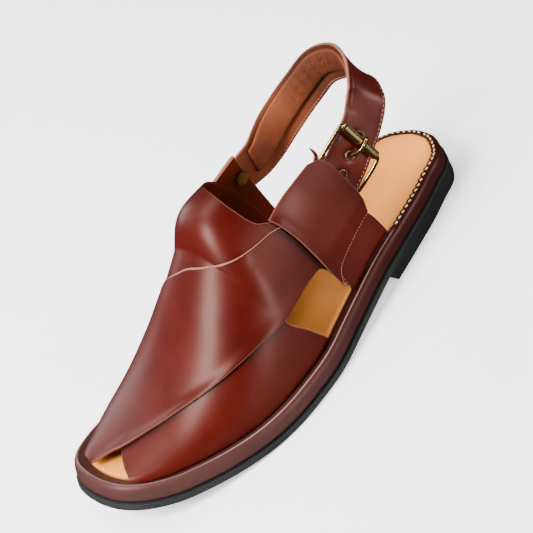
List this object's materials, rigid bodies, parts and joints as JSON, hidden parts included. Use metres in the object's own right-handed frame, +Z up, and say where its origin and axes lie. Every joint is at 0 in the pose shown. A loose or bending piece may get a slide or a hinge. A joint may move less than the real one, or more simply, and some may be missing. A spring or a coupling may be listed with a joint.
{
  "type": "sandal",
  "caption": "Left peshawari chappal: two crossing leather straps over the foot, open toe, side tabs, slack heel strap with roller buckle, welted rand, flat sole with low heel",
  "frame": {"origin": "on the floor, under the middle of the shoe's outline across and along", "axes": "+Z up, toe towards -Y, heel towards +Y, outer side with the buckle towards +X"},
  "size_m": [0.1088, 0.2868, 0.1133],
  "materials": {
    "upper_leather": "smooth polished red-brown leather with pale cut edges",
    "lining_leather": "matt brown lining leather, pleated where the strap bends",
    "rand_leather": "dull purple-brown leather wrapped over the rand",
    "insole_leather": "matt tan leather footbed",
    "sole_rubber": "matt dark grey rubber",
    "brass": "polished brass",
    "aged_brass": "aged dark brass"
  },
  "bodies": {
    "root": {"outsole": "sole_rubber", "heel_block": "sole_rubber", "midsole_rand": "rand_leather", "insole": "insole_leather", "upper": "upper_leather", "buckle_tab": "upper_leather", "medial_tab": "upper_leather", "heel_strap": "upper_leather", "strap_pad": "lining_leather", "strap_rivet": "aged_brass", "eyelet_front": "aged_brass", "eyelet_middle": "aged_brass", "eyelet_back": "aged_brass", "buckle_frame": "brass", "buckle_roller": "brass", "buckle_prong": "brass", "buckle_chape": "upper_leather"}
  },
  "joints": []
}
